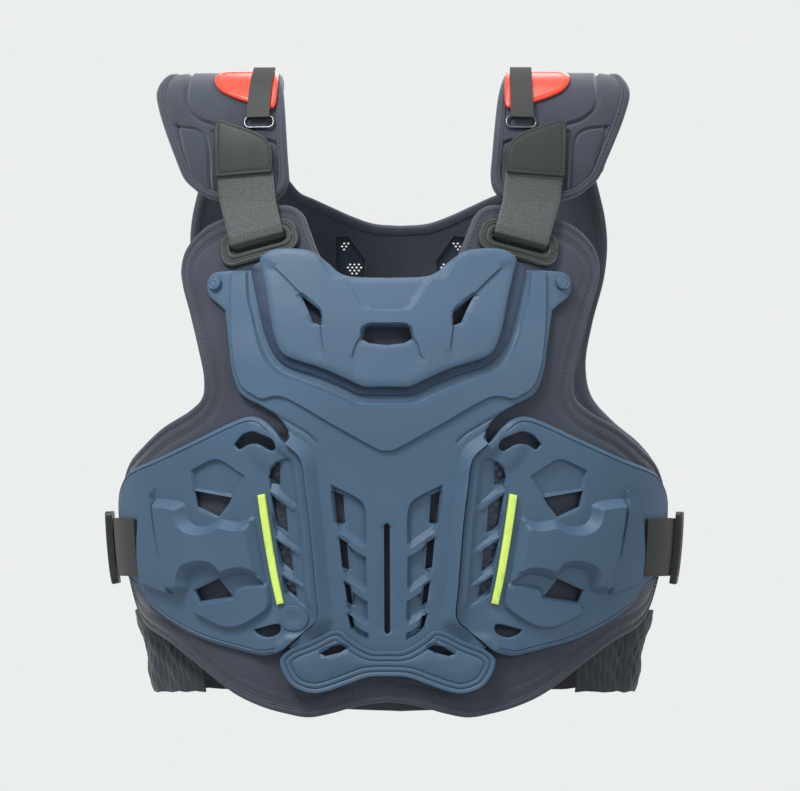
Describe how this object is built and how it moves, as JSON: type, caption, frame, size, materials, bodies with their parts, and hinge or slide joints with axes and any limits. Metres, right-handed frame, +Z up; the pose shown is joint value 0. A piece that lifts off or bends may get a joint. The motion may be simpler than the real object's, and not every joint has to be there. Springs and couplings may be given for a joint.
{
  "type": "roost deflector",
  "caption": "Chest and back protector worn over the shoulders: hard vented front shells on a padded panel, shoulder pads, strap webbing, a padded back and a waist belt.",
  "frame": {"origin": "where the pads rest on the shoulders: the underside of the shoulder pads at their highest, midway between them", "axes": "+Z up, the chest faces -Y, +X towards the right of a picture taken from the front"},
  "size_m": [0.421, 0.2656, 0.4697],
  "materials": {
    "neoprene": "padded knit-faced foam, dark navy grey",
    "binding": "sewn stretch edge tape with a stitch line",
    "shell": "moulded slate blue plastic, satin",
    "collar_band": "darker blue moulded plastic",
    "guard": "dark stitched rubberised trim",
    "vent_mesh": "black perforated mesh",
    "accent_yellow": "bright yellow insert",
    "patch": "dark stitched patch, plain",
    "tab_red": "red-orange moulded tab, plain",
    "webbing": "dark woven webbing",
    "wire": "bent wire",
    "belt_elastic": "ruched stretch fabric",
    "buckle": "black moulded plastic"
  },
  "bodies": {
    "root": {"front_panel": "neoprene", "front_panel_binding": "binding", "main_shell": "shell", "collar_base": "collar_band", "collar_plate": "shell", "hem_plate": "shell", "wing_badge": "shell", "back_panel": "neoprene", "back_panel_binding": "binding", "waist_belt": "belt_elastic", "strap_slot_guard_l": "guard", "strap_slot_guard_r": "guard", "side_wing_l": "shell", "side_wing_r": "shell", "vent_mesh_l": "vent_mesh", "vent_mesh_r": "vent_mesh", "back_vent_mesh_l": "vent_mesh", "back_vent_mesh_r": "vent_mesh", "accent_stripe_l": "accent_yellow", "accent_stripe_r": "accent_yellow", "shell_rivet_l": "shell", "shell_rivet_r": "shell", "shoulder_pad_l": "neoprene", "shoulder_pad_r": "neoprene", "pad_binding_l": "binding", "pad_binding_r": "binding", "strap_patch_l": "patch", "strap_patch_r": "patch", "brace_tab_l": "tab_red", "brace_tab_r": "tab_red", "shoulder_strap_l": "webbing", "shoulder_strap_r": "webbing", "tab_strap_l": "webbing", "tab_strap_r": "webbing", "strap_loop_l": "wire", "strap_loop_r": "wire", "side_strap_l": "webbing", "side_strap_r": "webbing", "side_buckle_l": "buckle", "side_buckle_r": "buckle"}
  },
  "joints": []
}
